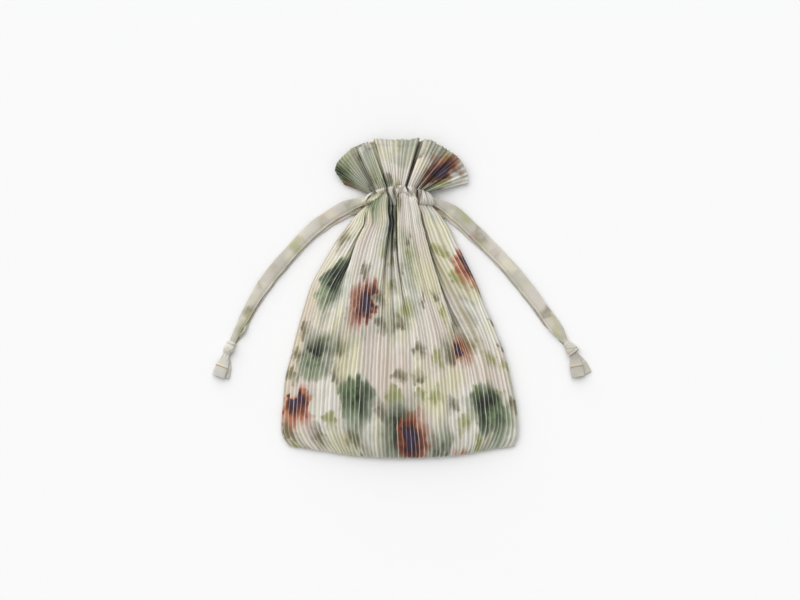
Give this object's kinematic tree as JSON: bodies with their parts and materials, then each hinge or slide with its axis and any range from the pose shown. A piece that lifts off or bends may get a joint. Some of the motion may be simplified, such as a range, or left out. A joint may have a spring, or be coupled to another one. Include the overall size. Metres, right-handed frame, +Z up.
{
  "type": "pleated drawstring bag",
  "caption": "Soft drawstring bag of finely pleated printed cloth, gathered at the neck below a fanned frill, with knotted flat ties at the sides, lying on its back.",
  "frame": {"origin": "on the surface the bag lies on, under the middle of the bag's own outline without its ties", "axes": "+X to the bag's right as it is seen from above, +Y from the base seam to the frill, +Z up from the surface"},
  "size_m": [0.3848, 0.321, 0.0252],
  "materials": {
    "printed_cloth": "matte pleated cloth with a soft blotched print",
    "tie_cloth": "matte plain cloth"
  },
  "bodies": {
    "root": {"pouch": "printed_cloth", "casing": "printed_cloth", "frill": "printed_cloth", "tie_left_front": "tie_cloth", "tie_left_back": "tie_cloth", "tie_right_front": "tie_cloth", "tie_right_back": "tie_cloth", "knot_left": "tie_cloth", "knot_right": "tie_cloth", "tail_left_front": "tie_cloth", "tail_left_back": "tie_cloth", "tail_right_front": "tie_cloth", "tail_right_back": "tie_cloth"}
  },
  "joints": []
}
